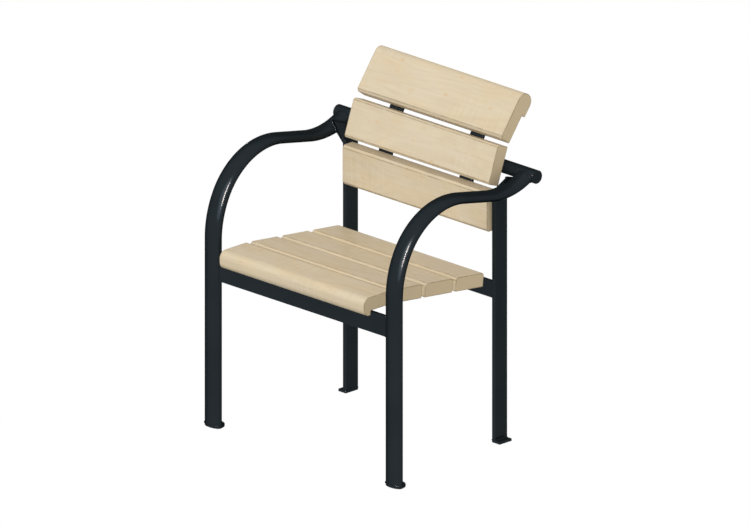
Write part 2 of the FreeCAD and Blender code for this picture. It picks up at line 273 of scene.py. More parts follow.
def around(tree, value, amount, base=0.0):
    # Base + amount * (value - 0.5) * 2, which leaves a value of 0.5 without effect
    return calc(tree, "MULTIPLY_ADD", calc(tree, "SUBTRACT", value, 0.5), amount * 2, base)


def scaled(tree, vector, factors):
    return addNode(tree, "ShaderNodeVectorMath", {0: vector, 1: factors}, operation="MULTIPLY").outputs[0]


def sized(tree, vector, size):
    # The vector divided by a feature's size
    inputs = {0: vector, "Scale": calc(tree, "DIVIDE", 1.0, size)}
    return addNode(tree, "ShaderNodeVectorMath", inputs, operation="SCALE").outputs[0]


def noise(tree, vector, seed, detail=2.0, roughness=0.5, distortion=0.0):
    # Smooth random value near 0.5. Its size is set by how the vector is scaled.
    inputs = {"Vector": vector, "W": seed, "Scale": 1.0, "Detail": detail, "Roughness": roughness}
    inputs["Distortion"] = distortion
    return addNode(tree, "ShaderNodeTexNoise", inputs, noise_dimensions="4D").outputs[0]


def ramp(tree, value, low, high, outLow=0.0, outHigh=1.0, shape="SMOOTHSTEP"):
    inputs = {"Value": value, "From Min": low, "From Max": high, "To Min": outLow, "To Max": outHigh}
    return addNode(tree, "ShaderNodeMapRange", inputs, interpolation_type=shape).outputs[0]


def blendColours(tree, factor, first, second):
    return addNode(tree, "ShaderNodeMix", {0: factor, 6: first, 7: second}, data_type="RGBA").outputs[2]


def objectPlace(tree):
    return addNode(tree, "ShaderNodeTexCoord", {}).outputs["Object"]


def attributeValue(tree, name, vector=False):
    made = addNode(tree, "ShaderNodeAttribute", {}, attribute_name=name, attribute_type="GEOMETRY")
    return made.outputs["Vector" if vector else "Fac"]


def newGroup(name, takes, gives):
    # A node group that takes the named vectors and values, with their starting values, and gives values
    group = bpy.data.node_groups.new(name, "ShaderNodeTree")
    for key, start in takes.items():
        kind = "NodeSocketVector" if start is None else "NodeSocketFloat"
        socket = group.interface.new_socket(name=key, in_out="INPUT", socket_type=kind)
        if start is not None:
            socket.default_value = start
    for key in gives:
        group.interface.new_socket(name=key, in_out="OUTPUT", socket_type="NodeSocketFloat")
    return group, group.nodes.new("NodeGroupInput").outputs, group.nodes.new("NodeGroupOutput")


def newMaterial(name):
    material = bpy.data.materials.new(name)
    material.use_nodes = True
    tree = material.node_tree
    return material, tree, tree.nodes["Principled BSDF"]


def makeVariationGroup():
    # Slow change over a surface: noise of the given feature size, spread between Low and High
    takes = {"Vector": None, "Size": 0.05, "Seed": 0.0, "Low": 0.0, "High": 1.0}
    group, given, out = newGroup("slowVariation", takes, ["Value"])
    value = noise(group, sized(group, given["Vector"], given["Size"]), given["Seed"], detail=3.0)
    spread = ramp(group, value, 0.3, 0.7, given["Low"], given["High"], shape="LINEAR")
    group.links.new(spread, out.inputs["Value"])
    return group


def makeEdgeGroup():
    # Worn colour along edges, and on the wood painted shade along them: the edge attribute broken up by noise
    takes = {"Vector": None, "Edge": 0.0, "Size": 0.02, "Seed": 0.0, "Amount": 1.0}
    group, given, out = newGroup("edgeWearAndShade", takes, ["Mask"])
    place = sized(group, given["Vector"], given["Size"])
    broken = noise(group, place, given["Seed"], detail=4.0, roughness=0.6)
    broken = ramp(group, broken, 0.3, 0.62, 0.35, 1.0)
    mask = calc(group, "MULTIPLY", calc(group, "MULTIPLY", given["Edge"], broken), given["Amount"])
    group.links.new(mask, out.inputs["Mask"])
    return group


def makeFineGroup():
    # Fine unevenness of a finish as a height: soft dimples of the given size
    group, given, out = newGroup("fineDimples", {"Vector": None, "Size": 0.0015, "Seed": 0.0}, ["Height"])
    place = sized(group, given["Vector"], given["Size"])
    height = noise(group, place, given["Seed"], detail=1.5, roughness=0.4)
    group.links.new(height, out.inputs["Height"])
    return group


# Figure of a pale board: how often each layer repeats in a metre along, across and through the board
figure = {
    "wideStreaks": (9.0, 190.0, 190.0), "fineStreaks": (26.0, 1100.0, 1100.0), "wideShare": 0.6,
    "ringBend": (3.2, 9.0, 9.0), "ringSway": 0.075, "ringSharpness": 2.2,
    "ripple": (150.0, 16.0, 16.0), "ripplePatches": (4.5, 13.0, 13.0),
    "flecks": (42.0, 95.0, 95.0), "fleckSize": (0.12, 0.5), "fleckChoice": (0.80, 0.93),
    "clouds": (5.0, 14.0, 14.0), "warmth": (11.0, 30.0, 30.0),
    # Where these layers start in the noise, so that they look like none of the others
    "starts": {"ripplePatches": 7.3, "clouds": 3.1, "warmth": 5.7},
    "rippleRange": (0.47, 0.62), "warmthRange": (0.33, 0.67),
}


def makeGrainGroup():
    # Place is metres along, across and through the board, from the tree's heart.
    # Streaks: noise stretched along the board, wide and fine. Rings: a sine of the distance from the heart
    # line, bent by slow noise. Ripple: noise stretched across the board, in patches. Flecks: small soft spots
    # at random. Cloud and Warmth: slow noise.
    gives = ["Streaks", "Rings", "Ripple", "Flecks", "Cloud", "Warmth"]
    group, given, out = newGroup("boardGrain", {"Place": None, "Seed": 0.0, "Ring Width": 0.007}, gives)
    seed = given["Seed"]

    def layer(name, **settings):
        start = calc(group, "ADD", seed, figure["starts"][name]) if name in figure["starts"] else seed
        return noise(group, scaled(group, given["Place"], figure[name]), start, **settings)

    wide = layer("wideStreaks", distortion=0.4)
    fine = layer("fineStreaks", detail=3.0, roughness=0.6)
    wide = calc(group, "MULTIPLY", wide, figure["wideShare"])
    streaks = calc(group, "MULTIPLY_ADD", fine, 1 - figure["wideShare"], wide)
    fromHeart = scaled(group, given["Place"], (0.0, 1.0, 1.0))
    distance = addNode(group, "ShaderNodeVectorMath", {0: fromHeart}, operation="LENGTH").outputs["Value"]
    distance = around(group, layer("ringBend", detail=1.5), figure["ringSway"] / 2, distance)
    turns = calc(group, "DIVIDE", calc(group, "MULTIPLY", distance, 2 * np.pi), given["Ring Width"])
    rings = calc(group, "MULTIPLY_ADD", calc(group, "SINE", turns), 0.5, 0.5)
    rings = calc(group, "POWER", rings, figure["ringSharpness"])
    patches = ramp(group, layer("ripplePatches"), *figure["rippleRange"])
    ripple = calc(group, "SUBTRACT", layer("ripple", distortion=0.6), 0.5)
    ripple = calc(group, "MULTIPLY_ADD", ripple, patches, 0.5)
    inputs = {"Vector": scaled(group, given["Place"], figure["flecks"])}
    inputs.update({"W": seed, "Scale": 1.0, "Randomness": 1.0})
    cells = addNode(group, "ShaderNodeTexVoronoi", inputs, voronoi_dimensions="4D", feature="F1").outputs
    chosen = addNode(group, "ShaderNodeSeparateColor", {0: cells["Color"]}).outputs[0]
    flecks = calc(
        group, "MULTIPLY", ramp(group, cells["Distance"], *figure["fleckSize"], 1.0, 0.0),
        ramp(group, chosen, *figure["fleckChoice"])
    )
    cloud = layer("clouds", detail=3.0)
    warmth = ramp(group, layer("warmth", detail=2.5), *figure["warmthRange"])
    for key, value in zip(gives, (streaks, rings, ripple, flecks, cloud, warmth)):
        group.links.new(value, out.inputs[key])
    return group


slowVariation = makeVariationGroup()
edgeWearAndShade = makeEdgeGroup()
fineDimples = makeFineGroup()
boardGrain = makeGrainGroup()


# Materials


def patchy(tree, place, seed, size, low=0.0, high=1.0):
    # Slow variation between two values, with patches of the given size in metres
    inputs = {"Vector": place, "Size": size, "Seed": seed, "Low": low, "High": high}
    return useGroup(tree, slowVariation, inputs)["Value"]


def wornAndShadedEdges(tree, colour, edgeColour, seed, size, amount):
    # Another colour along the edges, broken up at the given size in metres: worn colour on the metal, painted
    # shade on the wood
    inputs = {"Vector": objectPlace(tree), "Edge": attributeValue(tree, "edge")}
    inputs.update({"Size": size, "Seed": seed, "Amount": amount})
    return blendColours(tree, useGroup(tree, edgeWearAndShade, inputs)["Mask"], colour, edgeColour)


def connect(tree, shader, colour, rough, height, bump):
    # Bump is a strength and a height in metres
    inputs = {"Height": height, "Strength": bump[0], "Distance": bump[1]}
    relief = addNode(tree, "ShaderNodeBump", inputs).outputs[0]
    for key, value in (("Base Color", colour), ("Roughness", rough), ("Normal", relief)):
        tree.links.new(value, shader.inputs[key])


steelLook = {
    "colour": (0.0208, 0.0265, 0.0302, 1.0),      # dark grey powder coat, slightly blue
    "shade": (0.0174, 0.0229, 0.0266, 1.0),
    "edge": (0.0275, 0.0340, 0.0385, 1.0),        # thinner coat on the arrises
    "roughness": (0.15, 0.165), "patches": 0.09, "roughPatches": 0.03, "edgeAmount": 0.6, "edgeNoiseSize": 0.012,
    "dimpleSize": 0.0011, "bump": (0.015, 0.00001), "seeds": (1.0, 2.0, 5.0, 4.0),
    # A metallic share with a weak rim, so that outlines stay dark
    "sockets": {"Metallic": 0.4, "Specular Tint": (0.22, 0.22, 0.22, 1.0), "Specular IOR Level": 0.0},
}
zincLook = {
    "colour": (0.60, 0.61, 0.62, 1.0),
    "shade": (0.44, 0.45, 0.45, 1.0),
    "edge": (0.72, 0.73, 0.74, 1.0),
    "roughness": (0.26, 0.44), "patches": 0.004, "roughPatches": 0.006, "edgeAmount": 0.7, "edgeNoiseSize": 0.003,
    "dimpleSize": 0.0007, "bump": (0.3, 0.00002), "seeds": (3.0, 6.0, 9.0, 8.0),
    "sockets": {"Metallic": 1.0},
}


def makeCoat(name, look):
    # Patches of shade, worn edges, uneven gloss and fine dimples, each with a seed of its own
    material, tree, shader = newMaterial(name)
    place = objectPlace(tree)
    shadeSeed, edgeSeed, roughSeed, dimpleSeed = look["seeds"]
    patches = patchy(tree, place, shadeSeed, look["patches"])
    colour = blendColours(tree, patches, look["shade"], look["colour"])
    colour = wornAndShadedEdges(tree, colour, look["edge"], edgeSeed, look["edgeNoiseSize"], look["edgeAmount"])
    rough = patchy(tree, place, roughSeed, look["roughPatches"], *look["roughness"])
    inputs = {"Vector": place, "Size": look["dimpleSize"], "Seed": dimpleSeed}
    connect(tree, shader, colour, rough, useGroup(tree, fineDimples, inputs)["Height"], look["bump"])
    for key, value in look["sockets"].items():
        shader.inputs[key].default_value = value
    return material


woodLook = {
    "light": (0.668, 0.575, 0.428, 1.0),
    "dark": (0.560, 0.450, 0.303, 1.0),
    "warm": (0.690, 0.540, 0.325, 1.0),           # yellower clouds, and the tone of a whole board
    "warmDark": (0.5727, 0.4482, 0.26975, 1.0),
    "fleck": (0.600, 0.400, 0.205, 1.0),
    "creaseShade": (0.330, 0.250, 0.150, 1.0),         # painted shade: a dark line along every edge
    # End grain's own colour, painted lighter to stand in for the weaker light on the boards' ends
    "end": (0.800, 0.645, 0.410, 1.0), "endShare": 0.85, "endFacing": (0.7, 0.95),
    "ringWidth": 0.0075, "shadeRange": (-0.7, 1.0),
    "streaks": 1.10, "rings": 0.25, "ripple": 0.80, "flecks": 0.60, "cloud": 0.75, "clouds": 0.42,
    # The edge amount, noise size and seed below set the painted shade line along the edges
    "edgeAmount": 0.85, "edgeNoiseSize": 0.02, "roughness": (0.46, 0.58), "roughPatches": 0.02, "specular": 0.15,
    "streakHeight": 0.7, "bump": (0.18, 0.0004), "edgeSeed": 2.5,
}
# One small knot, drawn as a ring round a place on the board that carries this seed
knot = {
    "place": (-0.080, -0.0083, 0.053), "seed": 9.2, "seedWithin": 0.1,
    "size": 0.0052, "inside": 0.4, "outside": 1.7, "strength": 0.4,
}


def knotMask(tree, place, seed):
    # Rises from the inside to the knot's size and falls again to the outside
    inputs, size = {0: place, 1: knot["place"]}, knot["size"]
    away = addNode(tree, "ShaderNodeVectorMath", inputs, operation="DISTANCE").outputs["Value"]
    rise = ramp(tree, away, knot["inside"] * size, size)
    fall = ramp(tree, away, size, knot["outside"] * size, 1.0, 0.0)
    mask = calc(tree, "MULTIPLY", calc(tree, "MULTIPLY", rise, fall), knot["strength"])
    return calc(tree, "MULTIPLY", mask, calc(tree, "COMPARE", seed, knot["seed"], knot["seedWithin"]))


def endMask(tree):
    # 1 where the surface faces along the board
    normal = addNode(tree, "ShaderNodeNewGeometry", {}).outputs["Normal"]
    across = addNode(tree, "ShaderNodeSeparateXYZ", {0: normal}).outputs[0]
    return ramp(tree, calc(tree, "ABSOLUTE", across), *woodLook["endFacing"])


def makeWood():
    material, tree, shader = newMaterial("paleWood")
    look = woodLook
    place = attributeValue(tree, "boardPlace", vector=True)
    seed = attributeValue(tree, "boardSeed")
    grain = useGroup(tree, boardGrain, {"Place": place, "Seed": seed, "Ring Width": look["ringWidth"]})
    # How dark the figure is at a place: each layer leaves its middle value unchanged
    shade = around(tree, grain["Streaks"], look["streaks"])
    shade = calc(tree, "MULTIPLY_ADD", grain["Rings"], look["rings"], shade)
    shade = around(tree, grain["Ripple"], look["ripple"], shade)
    shade = around(tree, grain["Cloud"], look["cloud"], shade)
    shade = ramp(tree, shade, *look["shadeRange"], shape="LINEAR")
    colour = blendColours(tree, shade, look["light"], look["dark"])
    tint = blendColours(tree, shade, look["warm"], look["warmDark"])
    warmth = calc(tree, "MULTIPLY_ADD", grain["Warmth"], look["clouds"], attributeValue(tree, "boardTone"))
    colour = blendColours(tree, warmth, colour, tint)
    flecks = calc(tree, "MULTIPLY", grain["Flecks"], look["flecks"])
    colour = blendColours(tree, flecks, colour, look["fleck"])
    colour = blendColours(tree, knotMask(tree, place, seed), colour, look["fleck"])
    # Ends take the end grain colour, painted lighter to make up for the light they lack
    ends = calc(tree, "MULTIPLY", endMask(tree), look["endShare"])
    colour = blendColours(tree, ends, colour, look["end"])
    # Painted shade along every edge, standing in for the shade in the slats' gaps and along their chamfers
    colour = wornAndShadedEdges(tree, colour, look["creaseShade"], look["edgeSeed"], look["edgeNoiseSize"], look["edgeAmount"])
    rough = patchy(tree, place, seed, look["roughPatches"], *look["roughness"])
    height = calc(tree, "MULTIPLY", grain["Streaks"], look["streakHeight"])
    height = calc(tree, "MULTIPLY_ADD", grain["Ripple"], 1 - look["streakHeight"], height)
    connect(tree, shader, colour, rough, height, look["bump"])
    shader.inputs["Specular IOR Level"].default_value = look["specular"]
    return material


steel = makeCoat("powderCoatedSteel", steelLook)
zinc = makeCoat("zincPlatedSteel", zincLook)
wood = makeWood()
print("stage: materials made")


# Arms, each one bent oval tube

arm = {
    "spacing": 585.0, "width": 50.0, "depth": 25.0,
    "lowerRadius": 221.0, "lowerTurn": 27.0, "upperRadius": 174.0,
    "fall": 11.2, "dipRadius": 178.0, "rise": 31.9, "aimLift": 3.0,
    "support": 2.0, "legRings": (150.0, 300.0), "intoTube": 0.6,
    "aroundSteps": 72, "lowerSteps": 17, "upperSteps": 43, "dipSteps": 31,
}
tube = {"radius": 16.0, "ease": 0.8, "support": 3.0, "overhang": 2.0, "contact": 45.5}
back = {
    "planeY": 391.6, "bendZ": 607.1, "lean": 20.0, "run": 104.6, "upperLean": 36.5,
    "middleStart": 8.1, "topStart": 4.5, "topSupported": 71.0,
}
strap = {
    "spacing": 260.6, "width": 40.0, "thickness": 8.0, "bend": 10.0,
    "topGap": 3.0, "backDrop": 92.7, "seatFront": 12.0,
}
feet = {
    "thickness": 6.0, "tabRadius": 23.5, "tabOffset": 4.0,
    "rearWidth": 25.4, "rearCorner": 2.0, "innerCorner": 0.5,
    "arris": 0.8, "flatRing": 1.5, "aroundSteps": 96,
}

armX = arm["spacing"] / 2
halfWide, halfDeep = arm["width"] / 2, arm["depth"] / 2
backBend = backwards * back["planeY"] + upwards * back["bendZ"]
middleAlong, middleOut = heading(90 - back["lean"]), heading(180 - back["lean"])
upperAlong, upperOut = heading(90 - back["upperLean"]), heading(180 - back["upperLean"])
upperBend = backBend + middleAlong * back["run"]
tubeCentre = backBend + middleAlong * (back["middleStart"] + tube["contact"])
tubeCentre = tubeCentre - middleOut * (strap["thickness"] + tube["radius"])
riseNormal, fallNormal = heading(90 + arm["rise"]), heading(90 - arm["fall"])
dipCentre = tubeCentre + riseNormal * (arm["aimLift"] + arm["dipRadius"])
fallEnd = dipCentre - fallNormal * arm["dipRadius"]
upperHeading = 90 - arm["lowerTurn"]
# How far both bends carry the tube back and up, and how long the straight fall between them and the dip is
turned, falling = heading(upperHeading), heading(arm["fall"])
bendsBack = arm["lowerRadius"] * (1 - turned[2]) + arm["upperRadius"] * (turned[2] + falling[2])
bendsUp = arm["lowerRadius"] * turned[1] + arm["upperRadius"] * (falling[1] - turned[1])
fallLength = (fallEnd[1] - bendsBack) / falling[1]
uprightTop = fallEnd[2] + fallLength * falling[2] - bendsUp


def dipEnd(off, radius):
    # Direction in which a line of the dip, lying off from its middle, meets a circle round the cross tube.
    # The triangle of the dip's centre, the tube's centre and the meeting point has three known sides. A line
    # that passes over the circle ends above the tube's centre.
    span = tubeCentre - dipCentre
    distance, reach = np.linalg.norm(span), arm["dipRadius"] - off
    corner = np.arccos(np.clip((distance ** 2 + reach ** 2 - radius ** 2) / (2 * distance * reach), -1, 1))
    return np.degrees(np.arctan2(span[2], span[1]) - corner) + 90


def armRings(side, meet):
    # An ellipse carried up the leg, over two bends, down the fall and through the dip to the cross tube.
    # In a bend, each point turns about the bend's centre: centre -/+ heading * (radius -/+ off).
    angle = fullTurn(arm["aroundSteps"])
    wide, off = np.cos(angle) * halfWide, np.sin(angle) * halfDeep
    foot, support = feet["thickness"], arm["support"]
    upright = np.array([foot, foot + support, *arm["legRings"], uprightTop - support])
    leg = upwards * upright[:, None, None] - backwards * off[:, None]
    lowerCentre = backwards * arm["lowerRadius"] + upwards * uprightTop
    turning = (90 - arm["lowerTurn"] * np.linspace(0, 1, arm["lowerSteps"]))[:, None]
    lower = lowerCentre + heading(turning + 90 + 0 * off) * (arm["lowerRadius"] + off)[:, None]
    upperCentre = lowerCentre + heading(upperHeading + 90) * (arm["lowerRadius"] - arm["upperRadius"])
    part = np.linspace(0, 1, arm["upperSteps"])[1:, None]
    turning = upperHeading - (upperHeading + arm["fall"]) * part
    upper = upperCentre + heading(turning + 90 + 0 * off) * (arm["upperRadius"] + off)[:, None]
    part = np.linspace(0, 1, arm["dipSteps"])[:, None]
    turning = -arm["fall"] * (1 - part) + dipEnd(off, meet) * part
    dip = dipCentre - heading(turning + 90) * (arm["dipRadius"] - off)[:, None]
    rings = np.concatenate([leg, lower, upper, dip])
    rings[..., 0] = sides[side] * armX + wide
    return rings


for side in sides:
    rings = armRings(side, tube["radius"] - arm["intoTube"])
    addRings("armTube_" + side, rings, steel, "front_leg_arm_" + side)
print("stage: arms made, upright to %.1f" % uprightTop)


# Round tube across the back and its end discs

disc = {   # from the tube outwards: distance along, how far inside the tube's radius, and how worn
    "along": (0.0, 0.25, 0.6, 2.2, 2.6, 2.88, 3.0, 3.0),
    "inside": (0.7, 0.15, 0.0, 0.0, 0.12, 0.4, 0.8, 2.2),
    "worn": (0.0, 0.0, 0.0, 0.3, 1.0, 1.0, 0.3, 0.0),
}
halfTube = armX + halfWide + tube["overhang"]
halfLine = np.array([
    [halfTube - tube["support"], tube["radius"]],
    [halfTube - tube["ease"], tube["radius"]],
    [halfTube, tube["radius"] - tube["ease"]],
])
tubeLine = np.concatenate([halfLine[::-1] * [-1, 1], halfLine])
addRings("crossTube", lathe(tubeLine, tubeCentre, sideways), steel, "rear_cross_tube")
discLine = np.stack([disc["along"], tube["radius"] - np.array(disc["inside"])], axis=1)
discEdge = np.repeat(disc["worn"], latheSteps)
for side, sign in sides.items():
    rings = lathe(discLine, tubeCentre + sideways * sign * halfTube, sideways * sign)
    addRings("endDisc_" + side, rings, steel, "tube_end_disc_" + side, discEdge)


# Flat bars, rear legs and straps

frontBar = {"height": 50.0, "thickness": 10.0, "intoArm": 4.0}
rearBar = {"height": 40.0, "thickness": 10.0, "top": 380.5}
barEdge = {"arris": 0.9, "support": 1.6, "steps": 5}
legs = {
    "gap": 472.0, "thickness": 10.0, "depth": 40.0, "setBack": 20.4,
    "bendZ": 608.6, "bend": 45.0, "bendRadius": 5.0, "bendSteps": 9,
    "topRun": 17.0, "furthest": 40.0, "halvings": 24,
}
seat = {"planeZ": 415.7, "bendY": 51.4, "fall": 6.3}


def barOutline(width, thickness):
    # A rectangle with small arcs at its corners, for any inset
    corners, radii = square * [width / 2, thickness / 2], [barEdge["arris"]] * 4
    return lambda inset: roundedOutline(corners, radii, inset, barEdge["steps"], barEdge["support"])


def addCrossBar(name, middle, half, bar, node):
    # A straight bar on edge, as a path of four points, two of them close to its ends
    inner = half - endRule["support"]
    path = middle + sideways * np.array([-half, -inner, inner, half])[:, None]
    outline = barOutline(bar["thickness"], bar["height"])
    rings, sections, edge = loftBar(path, sideways, backwards, upwards, outline)
    addRings(name, rings, steel, node, edge)


frontBarTop = seat["planeZ"] - strap["thickness"]
frontBarMiddle = upwards * (frontBarTop - frontBar["height"] / 2)
addCrossBar("frontBar", frontBarMiddle, armX - halfWide + frontBar["intoArm"], frontBar, "front_cross_bar")
rearBarMiddle = backwards * (back["planeY"] + rearBar["thickness"] / 2)
rearBarMiddle = rearBarMiddle + upwards * (rearBar["top"] - rearBar["height"] / 2)
addCrossBar("rearBar", rearBarMiddle, legs["gap"] / 2, rearBar, "rear_cross_bar")
legX = (legs["gap"] + legs["thickness"]) / 2
legY = back["planeY"] + legs["setBack"] - legs["depth"] / 2


def legTopTravel(points, travel):
    # How far each point runs on before it meets the arm's oval side, found by halving the interval
    low, high = np.zeros(len(points)), np.full(len(points), legs["furthest"])
    for count in range(legs["halvings"]):
        middle = (low + high) / 2
        moved = points + middle[:, None] * travel
        off = arm["dipRadius"] - np.linalg.norm((moved - dipCentre)[:, 1:], axis=1)
        half = halfWide * np.sqrt(np.clip(1 - (off / halfDeep) ** 2, 0, 1))
        inside = np.abs(moved[:, 0]) > armX - half
        low, high = np.where(inside, low, middle), np.where(inside, middle, high)
    return high[:, None] * travel


legTops = {}
for side, sign in sides.items():
    bendZ = legs["bendZ"] - legs["thickness"] / 2 * np.tan(np.radians(legs["bend"] / 2))
    travel = sideways * sign + upwards
    bend = sideways * sign * legX + backwards * legY + upwards * bendZ
    foot = bend + upwards * (feet["thickness"] - bendZ)
    points = [foot, bend, bend + travel * legs["topRun"]]
    path, along = bentPath(points, [legs["bendRadius"] + legs["thickness"] / 2], legs["bendSteps"])
    path = np.insert(path, 1, path[0] + along[0] * endRule["support"], axis=0)
    along = np.insert(along, 1, along[0], axis=0)
    outline = barOutline(legs["depth"], legs["thickness"])
    rings, sections, edge = loftBar(path, along, backwards, np.cross(backwards, along), outline)
    # The end rings give way to two rings, where the leg meets the arm and just inside it
    keep = len(rings) - endRule["rows"] - 1
    legTops[side] = rings[keep - 1] + legTopTravel(rings[keep - 1], travel)
    rings = np.concatenate([rings[:keep], (legTops[side] + travel)[None]])
    edge = np.concatenate([edge[:keep], edge[keep - 1:keep]])
    addRings("rearLeg_" + side, rings, steel, "rear_leg_" + side, edge)

seatBend = backwards * seat["bendY"] + upwards * seat["planeZ"]
seatAlong, seatOut = heading(-seat["fall"]), heading(90 - seat["fall"])
seatRear = seatBend + seatAlong * (back["planeY"] - seat["bendY"]) / seatAlong[1]
seatFront = upwards * seat["planeZ"] - backwards * strap["seatFront"]
backEnd = upperBend + upperAlong * (back["topStart"] + back["topSupported"] - strap["topGap"])
backFoot = backBend - upwards * strap["backDrop"]


def addStrap(name, node, points, side):
    # The strap's middle line lies half its thickness behind the line that carries the slats
    points = np.array(points)
    out = np.cross(sideways, unit(np.diff(points, axis=0)))
    overlap = np.sum(out[:-1] * out[1:], axis=1, keepdims=True)
    mitre = np.concatenate([out[:1], (out[:-1] + out[1:]) / (1 + overlap), out[-1:]])
    middle = points - mitre * strap["thickness"] / 2
    path, along = bentPath(middle, [strap["bend"] + strap["thickness"] / 2] * (len(points) - 2))
    outline = barOutline(strap["width"], strap["thickness"])
    rings, sections, edge = loftBar(path, along, sideways, np.cross(sideways, along), outline)
    rings = rings + sideways * sides[side] * strap["spacing"] / 2
    addRings(name + side, rings, steel, node + side, edge)


for side in sides:
    addStrap("seatStrap_", "seat_support_", [seatFront, seatBend, seatRear], side)
    addStrap("backStrap_", "back_support_", [backFoot, backBend, upperBend, backEnd], side)
print("stage: bars and straps made")


# Foot plates

def plateRings(outlineOf):
    # A plate as rings from its underside up, with rounded edges
    drop, inset = quarterRound(feet["arris"])
    heights = np.concatenate([[0.0], drop, feet["thickness"] - drop[::-1], [feet["thickness"]]])
    flat = [feet["arris"] + feet["flatRing"]]
    flatOutlines = np.stack([outlineOf(value) for value in np.concatenate([flat, inset, inset[::-1], flat])])
    rings = np.zeros(flatOutlines.shape[:2] + (3,))
    rings[..., :2], rings[..., 2] = flatOutlines, heights[:, None]
    edge = np.ones(rings.shape[:2])
    edge[[0, -1]] = 0
    return rings, edge


def frontFootOutline(inset):
    # Radius round the tab's centre: where a ray leaves the leg's oval, and behind, the tab's radius if that
    # is more. The ray's length solves a * length squared + b * length + c = 0.
    angle, offset = fullTurn(feet["aroundSteps"]), feet["tabOffset"]
    a = (np.cos(angle) / halfWide) ** 2 + (np.sin(angle) / halfDeep) ** 2
    b = 2 * offset * np.sin(angle) / halfDeep ** 2
    c = (offset / halfDeep) ** 2 - 1
    ray = (-b + np.sqrt(b * b - 4 * a * c)) / (2 * a)
    radius = np.where(np.sin(angle) >= 0, np.maximum(ray, feet["tabRadius"]), ray) - inset
    return np.stack([radius * np.cos(angle), offset + radius * np.sin(angle)], axis=1)


def rearFootOutline(inset):
    # A rectangle from the leg's inner face outwards, as deep as the leg
    depth, width = legs["depth"], feet["rearWidth"]
    corners = [(0, -depth / 2), (width, -depth / 2), (width, depth / 2), (0, depth / 2)]
    radii = [feet["innerCorner"], feet["rearCorner"], feet["rearCorner"], feet["innerCorner"]]
    return roundedOutline(corners, radii, inset, steps=6)[0]


for side, sign in sides.items():
    rings, edge = plateRings(frontFootOutline)
    addRings("frontFoot_" + side, rings + sideways * sign * armX, steel, "front_foot_" + side, edge)
    rings, edge = plateRings(rearFootOutline)
    rings = rings * [sign, 1, 1] + sideways * sign * legs["gap"] / 2 + backwards * legY
    addRings("rearFoot_" + side, rings, steel, "rear_foot_" + side, edge)


# Wooden slats

slats = {
    "length": 467.0, "thickness": 33.0, "width": 90.0, "gap": 10.0, "firstGap": 6.0,
    "lowerWidth": 95.7, "middleWidth": 93.2, "topWidth": 121.0,
    "chamfer": 6.0, "rearChamfer": 4.5, "middleChamfer": 4.5, "ease": 2.0, "arris": 0.9,
    "noseReach": 38.9, "noseTop": 18.0, "noseBottom": 17.0,
    "lipDepth": 10.9, "lipThickness": 21.6, "lipInner": 3.0,
    "topFront": 20.0, "topBack": 21.0, "padThickness": 10.6,
    "ends": {"rounding": 0.8, "flatRing": 1.6}, "support": 2.5, "arcSteps": 9,
}


def plainOutline(width, cut, last):
    # A board's section with its far side cut off at both edges
    thick = slats["thickness"]
    corners = [(0, 0), (width, 0), (width, thick - last), (width - last, thick)]
    corners += [(cut, thick), (0, thick - cut)]
    return corners, [slats["ease"]] * 2 + [slats["arris"]] * 4


def noseOutline():
    # The front board's section: a round nose and a lip that hangs down in front
    front, thick, drop = -slats["noseReach"], slats["thickness"], -slats["lipDepth"]
    lip, cut, rear, arris = front + slats["lipThickness"], slats["rearChamfer"], seat["bendY"], slats["arris"]
    corners = [(rear, 0), (rear, thick - cut), (rear - cut, thick)]
    corners += [(front, thick), (front, drop), (lip, drop), (lip, 0)]
    nose = [slats["noseTop"], slats["noseBottom"], slats["ease"], slats["lipInner"]]
    return corners, [slats["ease"], arris, arris] + nose


def topOutline():
    # The top board's section: its upper edge is round and thicker towards the back
    width, thick, cut, pad = slats["topWidth"], slats["thickness"], slats["chamfer"], -slats["padThickness"]
    start, ease, arris = back["topSupported"], slats["ease"], slats["arris"]
    corners = [(0, 0), (start, 0), (start, pad), (width, pad), (width, thick), (cut, thick), (0, thick - cut)]
    return corners, [ease, slats["lipInner"], ease, slats["topBack"], slats["topFront"], arris, arris]


# For each board: where it stands, its outline, where the tree's heart lies in it, the seed of its figure,
# its tone, and how far the painted shade line along its edges fades out
boards = {
    "seat_slat_1": {
        "start": upwards * seat["planeZ"], "along": backwards, "out": upwards, "outline": noseOutline(),
        "heart": (20, -60), "seed": 1.3, "tone": 0.04, "line": 2.4,
    },
    "back_slat_lower": {
        "start": backBend - upwards * slats["lowerWidth"], "along": upwards, "out": -backwards,
        "outline": plainOutline(slats["lowerWidth"], slats["chamfer"], slats["chamfer"]),
        "heart": (30, -35), "seed": 5.1, "tone": 0.0, "line": 2.0,
    },
    "back_slat_middle": {
        "start": backBend + middleAlong * back["middleStart"], "along": middleAlong, "out": middleOut,
        "outline": plainOutline(slats["middleWidth"], slats["middleChamfer"], slats["middleChamfer"]),
        "heart": (70, -90), "seed": 7.7, "tone": -0.05, "line": 2.0,
    },
    "back_slat_top": {
        "start": upperBend + upperAlong * back["topStart"], "along": upperAlong, "out": upperOut,
        "outline": topOutline(), "heart": (45, -20), "seed": 9.2, "tone": -0.08, "line": 2.0,
    },
}
# Heart, seed and tone of the plain seat boards, from front to back
plainSeats = (((25, -50), 11.4, 0.10), ((55, -75), 13.7, 0.13), ((85, -100), 16.0, 0.16))
for index, (heart, seed, tone) in enumerate(plainSeats):
    away = slats["firstGap"] + index * (slats["width"] + slats["gap"])
    boards["seat_slat_%d" % (index + 2)] = {
        "start": seatBend + seatAlong * away, "along": seatAlong, "out": seatOut,
        "outline": plainOutline(slats["width"], slats["chamfer"], slats["rearChamfer"]),
        "heart": heart, "seed": seed, "tone": tone, "line": 2.4,
    }


